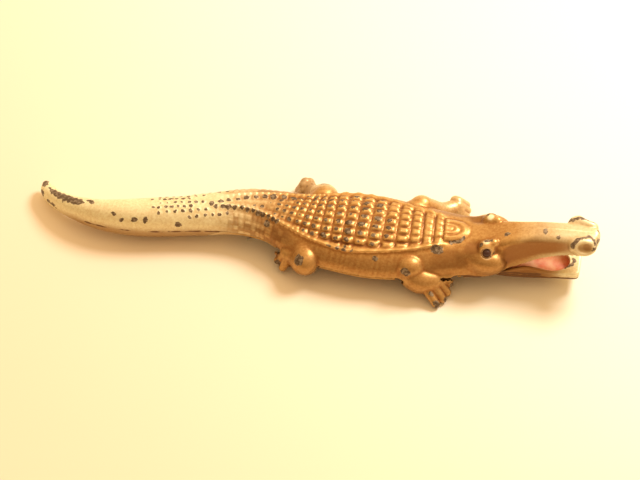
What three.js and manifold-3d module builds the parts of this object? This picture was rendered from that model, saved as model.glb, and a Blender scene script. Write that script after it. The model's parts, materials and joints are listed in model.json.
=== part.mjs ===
// A hair clip shaped like an alligator: a painted two-piece metal casting with a pinned lower jaw,
// and a sprung steel clip riveted under its belly.
// Millimetres, +X towards the snout, +Y its left side, +Z up.
// The figure is drawn about its own axis and then moved so that the origin is the bottom centre of its box.
import * as THREE from "three";
import Module from "manifold-3d";
import { mergeVertices } from "three/addons/utils/BufferGeometryUtils.js";
import { ParametricGeometry } from "three/addons/geometries/ParametricGeometry.js";
import { ConvexGeometry } from "three/addons/geometries/ConvexGeometry.js";

const wasm = await Module();
wasm.setup();

// ---- driving dimensions ----
const SEAM_Z = 5.0; // parting plane of the casting, where the figure is widest
const SEAM_GAP = 0.3; // joint between the two halves of the casting
const BELLY_Z = 2.7; // flat underside of the belly
const WALL = 1.6; // thickness of the cast walls
const CAVITY = { x0: -20.5, x1: 29 }; // the hollow inside the body
const BELLY = { x0: -24, x1: 31.4, floor: 1.2 }; // the lower half of the casting
const WINDOW = { x0: -9, x1: 2.6, half: 4.6 }; // opening in the belly for the clip's hinge
const TAB_WINDOW = { x0: -18.2, y0: -2.6, y1: 3.0 }; // and the part of it that the finger tab rises into
const JAW_PIVOT = { x: 35.2, z: 6.0 };
const JAW_PIN = { r: 0.8, left: 6.6, right: 5.7 }; // its blind end stops inside the right cheek
const JAW_KNUCKLE = { r: 3.0, half: 3.9 };
// Side view of the web that joins the knuckle to the jaw.
const JAW_WEB = [
  [34.4, 3.2],
  [40.5, 2.6],
  [40.5, 4.6],
  [37.2, 6.0],
];
const CLIP_PIVOT = { x: -1.0, z: 3.0 };
const CLIP_PIN = { r: 0.65, half: 4.3 };
const SHEET = 0.5; // thickness of the clip's sheet steel
const PLATE = { z: 2.1, x1: 31.0, half: 3.7, neck: 3.15, earY: 2.45 };
const BLADE_HALF = 3.6;
const TAB_HALF = 2.0; // finger tab
const BLADE_EAR_Y = 3.5; // inner face of the moving blade's ears
const BLADE_TEETH = { count: 9, x0: 22.2, pitch: 0.9, length: 0.8, height: 0.62, width: 0.5 };
const TEETH_Y = [-2.6, 2.1]; // a row of teeth along each edge of the blade
const EAR_R = 1.5;
const PIN_SLACK = 0.12; // between the clip's pin and its holes
const WIRE_R = 0.26; // torsion spring
const COIL = { r: 1.2, turns: 4, half: 1.4 };
const RIVETS = [
  { name: "rivet_rear", x: -21.95, y: 1.9, top: 8.0, head: 1.15, shank: 0.7, under: 2.4 },
  { name: "rivet_middle", x: 8.0, y: 0, top: 9.0, head: 1.7, shank: 0.9, under: PLATE.z },
  { name: "rivet_front", x: 20.0, y: 0, top: 9.0, head: 1.7, shank: 0.9, under: PLATE.z },
];
const RIVET_HEAD_T = 0.45;
const CLEAR = 0.3; // gap between a piece and what is cut round it
const AROUND = 22; // segments round a lofted body
const ROUND = 16; // segments round a pin or hole

// ---- solids ----
function toSolid(geometry) {
  const bare = new THREE.BufferGeometry();
  bare.setAttribute("position", geometry.getAttribute("position"));
  if (geometry.index) bare.setIndex(geometry.index);
  const merged = mergeVertices(bare, 1e-4);
  const index = merged.index.array;
  const kept = [];
  for (let i = 0; i < index.length; i += 3) {
    const [a, b, c] = [index[i], index[i + 1], index[i + 2]];
    if (a !== b && b !== c && c !== a) kept.push(a, b, c);
  }
  const make = (triVerts) =>
    new wasm.Manifold(
      new wasm.Mesh({ numProp: 3, vertProperties: merged.attributes.position.array, triVerts }),
    );
  const solid = make(new Uint32Array(kept));
  if (solid.volume() > 0) return solid;
  for (let i = 0; i < kept.length; i += 3) [kept[i + 1], kept[i + 2]] = [kept[i + 2], kept[i + 1]];
  return make(new Uint32Array(kept));
}

function toGeometry(solid) {
  const mesh = solid.getMesh();
  const geometry = new THREE.BufferGeometry();
  geometry.setAttribute("position", new THREE.BufferAttribute(Float32Array.from(mesh.vertProperties), 3));
  geometry.setIndex(new THREE.BufferAttribute(Uint32Array.from(mesh.triVerts), 1));
  geometry.computeVertexNormals();
  return geometry;
}

const join = (solids) => solids.reduce((a, b) => a.add(b));

function box(x0, x1, y0, y1, z0, z1) {
  const geometry = new THREE.BoxGeometry(x1 - x0, y1 - y0, z1 - z0);
  return toSolid(geometry.translate((x0 + x1) / 2, (y0 + y1) / 2, (z0 + z1) / 2));
}

// A cylinder along Y from y0 to y1.
function rodY(x, z, r, y0, y1, sides = ROUND) {
  const geometry = new THREE.CylinderGeometry(r, r, y1 - y0, sides);
  return toSolid(geometry.translate(x, (y0 + y1) / 2, z));
}

// A cylinder along Z from z0 to z1.
function rodZ(x, y, r, z0, z1, sides = ROUND) {
  const geometry = new THREE.CylinderGeometry(r, r, z1 - z0, sides).rotateX(Math.PI / 2);
  return toSolid(geometry.translate(x, y, (z0 + z1) / 2));
}

// A side view in X and Z, extruded across Y.
function slab(points, y0, y1) {
  const shape = new THREE.Shape(points.map(([x, z]) => new THREE.Vector2(x, z)));
  const geometry = new THREE.ExtrudeGeometry(shape, { depth: y1 - y0, bevelEnabled: false });
  return toSolid(geometry.rotateX(Math.PI / 2).translate(0, y1, 0));
}

// A plan view in X and Y, extruded up Z.
function plan(shape, z0, z1) {
  const geometry = new THREE.ExtrudeGeometry(shape, {
    depth: z1 - z0,
    bevelEnabled: false,
    curveSegments: 8,
  });
  return toSolid(geometry.translate(0, 0, z0));
}

// The smooth skin round a row of balls [x, y, z, r].
function limb(balls, detail = [8, 6]) {
  const skins = [];
  for (let i = 0; i + 1 < balls.length; i++) {
    const points = [];
    for (const [x, y, z, r] of [balls[i], balls[i + 1]]) {
      const position = new THREE.SphereGeometry(r, ...detail).getAttribute("position");
      for (let k = 0; k < position.count; k++)
        points.push(new THREE.Vector3().fromBufferAttribute(position, k).add(new THREE.Vector3(x, y, z)));
    }
    skins.push(toSolid(new ConvexGeometry(points)));
  }
  return join(skins);
}

// ---- lofted bodies ----
// A station is [x, y, z, half width, height above z, depth below z]; between stations it is a smooth curve.
function smooth(stations, column) {
  const curve = stations.map((s) => s[column]);
  return (t) => {
    const i = Math.min(Math.floor(t), curve.length - 2);
    const f = t - i;
    const at = (k) => curve[Math.max(0, Math.min(curve.length - 1, k))];
    const [p, q] = [(at(i + 1) - at(i - 1)) / 2, (at(i + 2) - at(i)) / 2];
    const [a, b] = [at(i), at(i + 1)];
    return a + f * (p + f * (3 * (b - a) - 2 * p - q + f * (2 * (a - b) + p + q)));
  };
}

// squareTop and squareFoot bend the section from an ellipse (2) towards a box.
function loft(stations, steps, squareTop, squareFoot, inset = 0) {
  const columns = [0, 1, 2, 3, 4, 5].map((c) => smooth(stations, c));
  const last = stations.length - 1;
  const point = (u, v, target) => {
    const t = Math.max(1e-6, Math.min(1 - 1e-6, v)) * last;
    const [x, y, z, half, up, down] = columns.map((f) => f(t));
    const ahead = Math.min(last, t + 0.01);
    const behind = Math.max(0, t - 0.01);
    const [dx, dy] = [0, 1].map((c) => columns[c](ahead) - columns[c](behind));
    const heading = Math.atan2(dy, dx);
    const angle = 2 * Math.PI * u;
    const [c, s] = [Math.cos(angle), Math.sin(angle)];
    const power = 2 / (s > 0 ? squareTop : squareFoot);
    const shut = v <= 0 || v >= 1 ? 0 : 1;
    const reach = s > 0 ? up : down;
    const across = shut * Math.max(0.05, half - inset) * Math.sign(c) * Math.abs(c) ** power;
    const rise = shut * Math.max(0.05, reach - inset) * Math.sign(s) * Math.abs(s) ** power;
    target.set(x - Math.sin(heading) * across, y + Math.cos(heading) * across, z + rise);
  };
  return toSolid(new ParametricGeometry(point, AROUND, steps));
}

const TRUNK = [
  [-61.8, 5.6, 2.4, 0.95, 1.0, 1.0],
  [-60.95, 3.9, 2.5, 1.5, 1.6, 1.6],
  [-58.8, 1.65, 2.9, 1.9, 2.1, 2.0],
  [-54.1, -1.15, 3.9, 2.35, 2.8, 2.6],
  [-48, -2.8, 4.6, 3.0, 3.7, 3.5],
  [-42, -3.0, 5.0, 3.6, 4.4, 4.1],
  [-36, -2.1, 5.0, 4.0, 4.7, 4.3],
  [-30, -0.8, 5.0, 4.2, 4.6, 4.2],
  [-25, 0.5, 5.0, 4.7, 4.4, 3.5],
  [-20, 1.7, 5.0, 5.4, 4.3, 2.5],
  [-15, 2.3, 5.0, 6.1, 4.4, 2.3],
  [-10, 1.9, 5.0, 6.8, 4.8, 2.3],
  [-5, 0.8, 5.0, 8.1, 5.4, 2.3],
  [0, 0, 5.0, 9.5, 5.9, 2.3],
  [6, -0.1, 5.0, 10.5, 6.3, 2.3],
  [12, -0.3, 5.0, 10.8, 6.4, 2.3],
  [18, -0.4, 5.0, 10.1, 6.3, 2.3],
  [24, -0.2, 5.0, 9.0, 6.1, 2.3],
  [29, 0, 5.0, 8.0, 6.0, 2.2],
  [33, 0, 5.1, 7.3, 5.9, 1.6],
  [36.5, 0, 5.4, 7.0, 5.9, 1.0],
  [39.5, 0, 6.0, 5.6, 5.2, 0.7],
  [41.5, 0, 7.0, 3.0, 3.4, 0.5],
];
const TRUNK_STEPS = 44;

// The upper lip in side view, from behind the corner of the mouth to beyond the nose.
const LIP = [
  [35.6, 5.0],
  [38.6, 5.6],
  [40.6, 6.1],
  [42.6, 6.9],
  [44.5, 8.0],
  [47.2, 9.6],
  [48.6, 10.1],
  [51.4, 11.1],
  [55, 12.0],
  [57.5, 12.7],
  [62, 14.0],
];

const SNOUT = [
  [29, 0, 8.0, 4.6, 2.2, 1.0],
  [33, 0, 8.2, 6.4, 3.2, 1.6],
  [37, 0, 8.5, 6.4, 3.6, 2.6],
  [41, 0, 9.4, 5.2, 3.4, 2.8],
  [45, 0, 10.8, 4.4, 3.2, 2.4],
  [49, 0, 11.7, 4.1, 2.9, 1.8],
  [52.5, 0, 12.4, 3.9, 2.6, 1.6],
  [55.6, 0, 12.9, 4.3, 2.8, 1.6],
  [58.4, 0, 13.2, 3.9, 2.5, 1.6],
  [59.6, 0, 13.4, 2.6, 1.6, 1.1],
];

const LOWER_JAW = [
  [36.5, 0, 4.3, 4.4, 0.6, 1.7],
  [39.5, 0, 4.0, 4.9, 1.1, 1.7],
  [42, 0, 3.9, 4.8, 2.1, 1.6],
  [44.5, 0, 3.9, 4.6, 2.7, 1.6],
  [47, 0, 3.9, 4.3, 2.1, 1.6],
  [49.5, 0, 3.9, 4.0, 1.5, 1.5],
  [53, 0, 4.0, 3.6, 1.3, 1.5],
  [55.4, 0, 4.1, 3.3, 1.1, 1.5],
  [56, 0, 4.1, 2.9, 0.8, 1.3],
];

// ---- legs ----
const LEG_CHAINS = {
  rightFront: [
    [19.0, -5.6, 6.2, 2.8],
    [20.2, -7.9, 6.2, 2.9],
    [22.8, -8.8, 4.0, 2.8],
    [25.2, -9.4, 1.9, 2.3],
  ],
  leftFront: [
    [18.6, 6.2, 6.6, 2.8],
    [20.6, 8.7, 6.8, 2.4],
    [24.2, 11.0, 3.6, 2.1],
    [26.6, 13.2, 1.8, 2.2],
  ],
  rightHind: [
    [-2.6, -5.6, 5.6, 2.9],
    [-1.9, -9.2, 5.1, 2.7],
    [-4.4, -7.8, 3.2, 2.1],
    [-6.0, -7.2, 1.7, 2.1],
  ],
  leftHind: [
    [-1.8, 5.8, 6.0, 2.9],
    [-0.5, 8.7, 6.2, 2.7],
    [-3.6, 11.3, 3.3, 2.1],
    [-5.1, 13.2, 1.8, 2.2],
  ],
};
const LEG_TOES = {
  rightFront: [
    [26.8, -12.7, 0.9],
    [28.0, -11.2, 0.9],
    [28.7, -9.5, 0.9],
    [28.8, -7.8, 1.2],
  ],
  leftFront: [
    [29.3, 12.4, 0.9],
    [29.4, 13.9, 0.9],
    [28.8, 15.3, 0.9],
    [27.3, 16.1, 0.9],
  ],
  rightHind: [
    [-8.1, -5.2, 2.2],
    [-8.3, -6.7, 1.7],
    [-8.1, -8.0, 1.2],
    [-6.9, -8.9, 0.9],
  ],
  leftHind: [
    [-6.9, 11.9, 0.9],
    [-7.1, 13.5, 0.9],
    [-6.6, 15.0, 0.9],
    [-5.5, 15.6, 0.9],
  ],
};
const TOE_R = 0.95;
const TOE_ROOT = 0.75; // a toe's root, as a part of the foot's radius
const LEG_ROOM = CLEAR + 0.1;

// A leg, or with extra the room it takes.
function leg(name, extra = 0) {
  const grown = LEG_CHAINS[name].map(([x, y, z, r]) => [x, y, z, r + extra]);
  const [x, y, z, r] = LEG_CHAINS[name].at(-1);
  const root = [x, y, z - 0.1, r * TOE_ROOT + extra];
  const toes = LEG_TOES[name].map((tip) => limb([root, [...tip, TOE_R + extra]], [6, 4]));
  return join([limb(grown), ...toes]);
}

// ---- head details ----
function headBumps() {
  const bumps = [];
  for (const side of [-1, 1]) {
    bumps.push(limb([[36.0, side * 4.0, 10.2, 2.7], [37.8, side * 4.0, 10.2, 2.5]], [10, 8]));
    bumps.push(limb([[55.2, side * 2.7, 14.2, 1.9], [57.2, side * 2.4, 14.4, 1.8]]));
  }
  return bumps;
}

// The room the lower jaw needs in the head: a slot for its knuckle and the open mouth.
function jawRoom() {
  const slot = box(30.9, 40.5, -JAW_KNUCKLE.half - CLEAR, JAW_KNUCKLE.half + CLEAR, 0, JAW_PIVOT.z);
  const crown = rodY(
    JAW_PIVOT.x,
    JAW_PIVOT.z,
    JAW_KNUCKLE.r + CLEAR,
    -JAW_KNUCKLE.half - CLEAR,
    JAW_KNUCKLE.half + CLEAR,
  );
  const mouth = slab([...LIP, [LIP.at(-1)[0], 0], [LIP[0][0], 0]], -8, 8);
  return join([slot, crown, mouth]);
}

// ---- the upper casting: head, back, legs and tail, hollow behind the belly ----
function upperCasting() {
  const trunk = loft(TRUNK, TRUNK_STEPS, 2.0, 2.8);
  const snout = loft(SNOUT, 16, 2.9, 3.2);
  const legs = Object.keys(LEG_CHAINS).map((name) => leg(name));
  let figure = join([trunk, snout, ...headBumps(), ...legs]);
  figure = figure.subtract(box(-80, 80, -40, 40, -10, 0));
  figure = figure.subtract(hollow(WALL, 1.0));
  for (const rivet of RIVETS) {
    const boss = rodZ(rivet.x, rivet.y, rivet.shank + 1.5, SEAM_Z, rivet.top + 2.4);
    figure = figure.add(boss.intersect(trunk));
  }
  figure = figure.subtract(bellyRegion(SEAM_Z));
  for (const rivet of RIVETS)
    figure = figure.subtract(rodZ(rivet.x, rivet.y, rivet.shank + CLEAR, 0, rivet.top + CLEAR));
  figure = figure.subtract(jawRoom());
  figure = figure.subtract(
    rodY(JAW_PIVOT.x, JAW_PIVOT.z, JAW_PIN.r + CLEAR, -JAW_PIN.right - CLEAR, 9),
  );
  return figure;
}

// The inside of the body, a wall's thickness in from its skin, from depth z up.
function hollow(wall, z) {
  const inner = loft(TRUNK, TRUNK_STEPS / 2, 2.0, 2.8, wall);
  return inner.intersect(box(CAVITY.x0, CAVITY.x1, -20, 20, z, 20));
}

// Everything of the body's lower half between the throat and the tail's root, below z.
function bellyRegion(top) {
  return box(BELLY.x0 - CLEAR, BELLY.x1 + CLEAR, -12.5, 12.5, 0, top).intersect(
    loft(TRUNK, TRUNK_STEPS, 2.0, 2.8, -0.6).intersect(box(-80, 80, -40, 40, 0.5, 20)),
  );
}

// ---- the lower half of the casting: a shallow tray with a window for the clip ----
function bellyCasting() {
  let tray = loft(TRUNK, TRUNK_STEPS, 2.0, 3.2).intersect(
    box(BELLY.x0, BELLY.x1, -20, 20, 0, SEAM_Z - SEAM_GAP),
  );
  tray = tray.subtract(legRoom());
  tray = tray.subtract(hollow(WALL, BELLY_Z + BELLY.floor));
  tray = tray.subtract(box(WINDOW.x0, WINDOW.x1, -WINDOW.half, WINDOW.half, 0, 10));
  tray = tray.subtract(box(TAB_WINDOW.x0, WINDOW.x0 + 1, TAB_WINDOW.y0, TAB_WINDOW.y1, 0, 10));
  tray = tray.subtract(jawRoom());
  for (const { x, y, shank, head, under } of RIVETS) {
    tray = tray.subtract(rodZ(x, y, shank + CLEAR, 0, 10));
    tray = tray.subtract(rodZ(x, y, head + CLEAR, 0, under));
  }
  return tray;
}

// The legs with a little room round them.
const legRoom = () => join(Object.keys(LEG_CHAINS).map((name) => leg(name, LEG_ROOM)));

// ---- the lower jaw: a trough with a knuckle on the jaw pin ----
function lowerJaw() {
  const outer = loft(LOWER_JAW, 12, 4, 3.4);
  const trough = loft(LOWER_JAW, 12, 4, 3.4, 0.85).translate([0, 0, 1.0]);
  const knuckle = rodY(JAW_PIVOT.x, JAW_PIVOT.z, JAW_KNUCKLE.r, -JAW_KNUCKLE.half, JAW_KNUCKLE.half);
  const web = slab(JAW_WEB, -JAW_KNUCKLE.half, JAW_KNUCKLE.half);
  let jaw = outer.subtract(trough).add(knuckle).add(web);
  jaw = jaw.subtract(rodY(JAW_PIVOT.x, JAW_PIVOT.z, JAW_PIN.r + 0.1, -9, 9));
  return jaw;
}

const jawPin = () => rodY(JAW_PIVOT.x, JAW_PIVOT.z, JAW_PIN.r, -JAW_PIN.right, JAW_PIN.left);

// ---- the clip ----
function roundedBar(x0, x1, half, tip) {
  const shape = new THREE.Shape();
  shape.moveTo(x0, -half);
  shape.lineTo(x1 - tip, -half);
  shape.quadraticCurveTo(x1, -half, x1, 0);
  shape.quadraticCurveTo(x1, half, x1 - tip, half);
  shape.lineTo(x0, half);
  return shape;
}

// One ear: an upright tab round the clip's pin, y0 being its lower face across.
function ear(y0, foot) {
  const { x, z } = CLIP_PIVOT;
  const round = rodY(x, z, EAR_R, y0, y0 + SHEET);
  return round.add(box(x - EAR_R, x + EAR_R, y0, y0 + SHEET, foot, z));
}

const pinHole = () => rodY(CLIP_PIVOT.x, CLIP_PIVOT.z, CLIP_PIN.r + PIN_SLACK, -9, 9);

// The plate that is riveted to the belly: hair is held against its underside.
function gripPlate() {
  const { z, x1, half, neck, earY } = PLATE;
  let plate = plan(roundedBar(3.4, x1, half, 3.5), z, z + SHEET);
  plate = plate.add(box(-4.4, 3.6, -neck, neck, z, z + SHEET));
  plate = plate.subtract(box(-6, 1.8, -1.95, 1.95, 0, 5));
  plate = join([plate, ear(earY, z), ear(-earY - SHEET, z)]);
  for (const rivet of RIVETS) plate = plate.subtract(rodZ(rivet.x, rivet.y, rivet.shank + 0.15, 0, 5));
  return plate.subtract(pinHole());
}

// The blade's middle in side view, from the tab's end to the tip.
const BLADE_LINE = [
  [-15.9, 1.3],
  [-15, 1.75],
  [-11, 2.0],
  [-7, 1.6],
  [-3, 0.8],
  [3, 0.75],
  [12, 0.7],
  [20, 0.8],
  [27, 1.35],
  [30.2, 1.5],
  [32.4, 1.0],
];

// The sprung blade, bowed from its hinge to its toothed tip, with a finger tab behind the hinge.
function movingBlade() {
  const line = new THREE.CatmullRomCurve3(BLADE_LINE.map(([x, z]) => new THREE.Vector3(x, 0, z)));
  const path = line.getPoints(34).map((p) => [p.x, p.z]);
  const upper = path.map(([x, z]) => [x, z + SHEET / 2]);
  const lower = path.map(([x, z]) => [x, z - SHEET / 2]).reverse();
  const strip = slab([...upper, ...lower], -5, 5);
  const outline = roundedBar(-17, 32.9, BLADE_HALF, 6);
  let blade = strip.intersect(plan(outline, -2, 6));
  for (const y of [TAB_HALF, -TAB_HALF - 5]) blade = blade.subtract(box(-30, -5.2, y, y + 5, -3, 9));
  const earLeft = ear(BLADE_EAR_Y, 0.75);
  const earRight = ear(-BLADE_EAR_Y - SHEET, 0.75);
  const yoke = box(-2.5, 0.5, -BLADE_EAR_Y - SHEET, BLADE_EAR_Y + SHEET, 0.56, 1.04);
  blade = join([blade, yoke, earLeft, earRight]);
  blade = join([blade, ...bladeTeeth()]);
  return blade.subtract(pinHole());
}

function bladeTeeth() {
  const { count, x0, pitch, length, height, width } = BLADE_TEETH;
  const teeth = [];
  for (let i = 0; i < count; i++) {
    const x = x0 + i * pitch;
    const foot = 0.75 + Math.max(0, x - 20) * 0.075;
    const side = [
      [x, foot],
      [x + length, foot],
      [x + length / 2, foot + height],
    ];
    for (const y of TEETH_Y) teeth.push(slab(side, y, y + width));
  }
  return teeth;
}

const clipPin = () => rodY(CLIP_PIVOT.x, CLIP_PIVOT.z, CLIP_PIN.r, -CLIP_PIN.half, CLIP_PIN.half);

// The torsion spring: one leg bears on the casting inside the body, the other pushes the finger tab down.
function torsionSpring() {
  const points = [];
  const { x, z } = CLIP_PIVOT;
  points.push(new THREE.Vector3(x - 6.0, -COIL.half, z + 4.4));
  const steps = COIL.turns * 10;
  const start = Math.PI * 0.32;
  const sweep = 2 * Math.PI * COIL.turns + Math.PI * 0.82;
  for (let i = 0; i <= steps; i++) {
    const angle = start - (sweep * i) / steps;
    const y = -COIL.half + (2 * COIL.half * i) / steps;
    points.push(new THREE.Vector3(x + COIL.r * Math.cos(angle), y, z + COIL.r * Math.sin(angle)));
  }
  points.push(new THREE.Vector3(x - 8.0, COIL.half, 2.5));
  const section = new THREE.Shape();
  section.absarc(0, 0, WIRE_R, 0, 2 * Math.PI);
  const path = new THREE.CatmullRomCurve3(points, false, "centripetal");
  const settings = { steps: 72, extrudePath: path, curveSegments: 3, bevelEnabled: false };
  return toSolid(new THREE.ExtrudeGeometry(section, settings));
}

function rivetSolid({ x, y, top, head, shank, under }) {
  const profile = [
    [0, under - RIVET_HEAD_T],
    [head * 0.7, under - RIVET_HEAD_T],
    [head, under - 0.12],
    [head, under - 0.02],
    [shank, under - 0.02],
    [shank, top],
    [0, top],
  ].map(([r, h]) => new THREE.Vector2(r, h));
  return toSolid(new THREE.LatheGeometry(profile, ROUND).rotateX(Math.PI / 2).translate(x, y, 0));
}

// ---- finishes ----
const goldPaint = new THREE.MeshStandardMaterial({ color: 0xb9783a, roughness: 0.42, metalness: 0.55 });
const creamPaint = new THREE.MeshStandardMaterial({ color: 0xdcc48c, roughness: 0.5, metalness: 0.15 });
const steel = new THREE.MeshStandardMaterial({ color: 0xa8a49c, roughness: 0.32, metalness: 1 });
const springSteel = new THREE.MeshStandardMaterial({ color: 0x77736d, roughness: 0.38, metalness: 1 });

// ---- the assembly ----
const figure = new THREE.Group();
function place(name, solid, material) {
  const mesh = new THREE.Mesh(toGeometry(solid), material);
  mesh.name = name;
  figure.add(mesh);
}
place("upper_casting", upperCasting(), goldPaint);
place("belly_casting", bellyCasting(), goldPaint);
place("lower_jaw", lowerJaw(), creamPaint);
place("jaw_pin", jawPin(), steel);
place("grip_plate", gripPlate(), steel);
place("moving_blade", movingBlade(), steel);
place("clip_pivot_pin", clipPin(), steel);
place("torsion_spring", torsionSpring(), springSteel);
for (const rivet of RIVETS) place(rivet.name, rivetSolid(rivet), steel);

const bounds = new THREE.Box3().setFromObject(figure, true);
const middle = bounds.getCenter(new THREE.Vector3());
figure.position.set(-middle.x, -middle.y, -bounds.min.z);

const hairClip = new THREE.Group();
hairClip.add(figure);
export default hairClip;
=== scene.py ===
"""Looks for a cast-metal alligator hair clip: sculpted, painted castings and a steel clip under them."""

import json
import math
from collections import namedtuple

import bpy
import numpy as np
import openvdb
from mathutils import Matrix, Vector


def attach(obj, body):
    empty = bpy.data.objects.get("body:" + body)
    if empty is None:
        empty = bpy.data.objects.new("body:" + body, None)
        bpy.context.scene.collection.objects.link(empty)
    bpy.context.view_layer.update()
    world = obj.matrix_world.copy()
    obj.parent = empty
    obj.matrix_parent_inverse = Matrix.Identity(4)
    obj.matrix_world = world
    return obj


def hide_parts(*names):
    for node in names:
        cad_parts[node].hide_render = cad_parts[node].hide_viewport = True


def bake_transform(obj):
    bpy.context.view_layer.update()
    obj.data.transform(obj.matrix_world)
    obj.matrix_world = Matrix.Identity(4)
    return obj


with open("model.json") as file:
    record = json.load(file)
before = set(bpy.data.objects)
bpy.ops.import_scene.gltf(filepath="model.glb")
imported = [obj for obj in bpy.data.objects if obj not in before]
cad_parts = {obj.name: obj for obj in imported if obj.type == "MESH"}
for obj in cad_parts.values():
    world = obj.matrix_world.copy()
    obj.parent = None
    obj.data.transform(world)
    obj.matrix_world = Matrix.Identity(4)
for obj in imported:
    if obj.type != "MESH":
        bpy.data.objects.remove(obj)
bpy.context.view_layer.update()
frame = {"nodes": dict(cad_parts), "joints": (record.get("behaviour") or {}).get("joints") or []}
MM = 0.001

# ---- dimensions, in millimetres on the figure's own axes, as in the CAD source ----
CELL, JAW_CELL = 0.22, 0.16  # cells of the sculpting grids
FAR_IN_AIR = 5.0  # what a grid of distances holds before anything is added
NOWHERE = -9.0  # a depth inside a paint mark that isn't there
SEAM_Z, JOINT_GAP = 5.0, 0.08  # parting plane of the casting, and its joint
WALL = 1.6
CAVITY = (-20.5, 29.0)  # the hollow inside the body, along X
BELLY_X = (-24.0, 31.4)  # the belly casting's ends
BELLY_FLOOR = 3.9
REAR_SLOPE, REAR_SLOPE_Z = 1.7, 3.3  # its rear end leans forward above this height
LEG_ROOM = 0.15  # round the legs, in the belly casting
WINDOW = (-9.0, 2.6, 4.6)  # opening for the clip's hinge: x0, x1, half width
TAB_WINDOW = (-18.2, -2.6, 3.0)  # and for the finger tab: x0, y0, y1
JAW_PIVOT = (35.2, 6.0)  # x and z
JAW_PIN_R = 0.8
KNUCKLE_R, KNUCKLE_HALF = 3.0, 3.9
CLIP_PIVOT = (-1.0, 3.0)
COIL_R, COIL_HALF, COIL_TURNS, WIRE_R = 1.2, 1.4, 4, 0.26  # the torsion spring
CLEAR = 0.3
Rivet = namedtuple("Rivet", "x y shank head top under")  # radii of shank and head, then heights of their ends
RIVETS = (
    Rivet(-21.95, 1.9, 0.7, 1.15, 8.0, 2.4),
    Rivet(8.0, 0.0, 0.9, 1.7, 9.0, 2.1),
    Rivet(20.0, 0.0, 0.9, 1.7, 9.0, 2.1),
)
BOSS_WALL = 1.5  # metal round each rivet inside the upper casting
FIGURE_BOX = ((-63.6, -15.2, -0.7), (60.4, 17.6, 17.0))
BELLY_BOX = ((-25.0, -15.2, 0.8), (32.5, 17.6, 6.0))
JAW_BOX = ((31.0, -8.0, 0.0), (58.5, 8.0, 10.5))


def figure_shift():
    """Where the figure's own origin lies in the row frame: the jaw's pivot is known in both."""
    hinge = next(j for j in frame["joints"] if j["name"] == "jaw_hinge")
    x, y, z = (v / MM for v in hinge["pos_m"])
    return np.array([x - JAW_PIVOT[0], y, z - JAW_PIVOT[1]])


SHIFT = figure_shift()

# Stations along the trunk and tail: x, y, z, half width, height above z, depth below z.
TRUNK = np.array([
    [-61.6, 5.4, 2.4, 0.95, 1.0, 1.0], [-60.9, 3.9, 2.5, 1.6, 1.6, 1.6], [-58.8, 1.65, 2.9, 1.9, 2.1, 2.0],
    [-54.1, -1.15, 3.9, 2.35, 2.8, 2.6], [-48, -2.8, 4.6, 3.0, 3.7, 3.5], [-42, -3.0, 5.0, 3.6, 4.4, 4.1],
    [-36, -2.1, 5.0, 4.0, 4.7, 4.3], [-30, -0.8, 5.0, 4.2, 4.6, 4.2], [-25, 0.5, 5.0, 4.7, 4.4, 3.5],
    [-20, 1.7, 5.0, 5.4, 4.3, 2.5], [-15, 2.3, 5.0, 6.1, 4.4, 2.0], [-10, 1.9, 5.0, 6.7, 4.8, 2.0],
    [-5, 0.8, 5.0, 8.1, 5.4, 2.1], [0, 0, 5.0, 9.5, 5.9, 2.3], [6, -0.1, 5.0, 10.5, 6.3, 2.3],
    [12, -0.3, 5.0, 10.8, 6.4, 2.3], [18, -0.4, 5.0, 10.1, 6.3, 2.3], [24, -0.2, 5.0, 9.0, 6.1, 2.3],
    [29, 0, 5.0, 8.0, 6.0, 2.2], [33, 0, 5.1, 7.3, 5.9, 1.6], [36.5, 0, 5.4, 7.0, 5.9, 1.0],
    [39.5, 0, 6.0, 5.6, 5.2, 0.7], [41.5, 0, 7.0, 3.0, 3.4, 0.5],
])
# The upper lip in side view, x and z.
LIP = np.array([
    [35.6, 5.0], [38.6, 5.6], [40.6, 6.1], [42.6, 6.9], [44.5, 8.0], [47.2, 9.6], [48.6, 10.1], [51.4, 11.1],
    [55, 12.0], [57.5, 12.7], [60, 13.9],
])
# Legs as rows of balls (x, y, z, radius), then each toe's root and tip.
LEGS = {
    "right_front": (
        (19.0, -5.6, 6.2, 2.8), (20.2, -7.7, 5.2, 3.0), (22.7, -9.1, 4.0, 2.8), (25.3, -8.6, 3.6, 2.4),
    ),
    "left_front": (
        (18.6, 6.2, 6.6, 2.8), (20.9, 8.7, 6.3, 2.4), (24.7, 10.8, 3.9, 1.7), (27.7, 13.0, 2.8, 1.9),
    ),
    "right_hind": (
        (-2.6, -5.6, 5.6, 2.9), (-1.9, -9.2, 5.1, 2.7), (-4.4, -7.2, 4.4, 2.0), (-6.0, -6.4, 4.2, 2.0),
    ),
    "left_hind": (
        (-1.8, 5.8, 6.0, 2.9), (-0.5, 8.7, 6.2, 2.7), (-3.6, 11.3, 3.7, 1.7), (-5.1, 13.2, 2.9, 1.9),
    ),
}
TOE_ROOT_R, TOE_TIP_R = 1.2, 0.9
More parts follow.
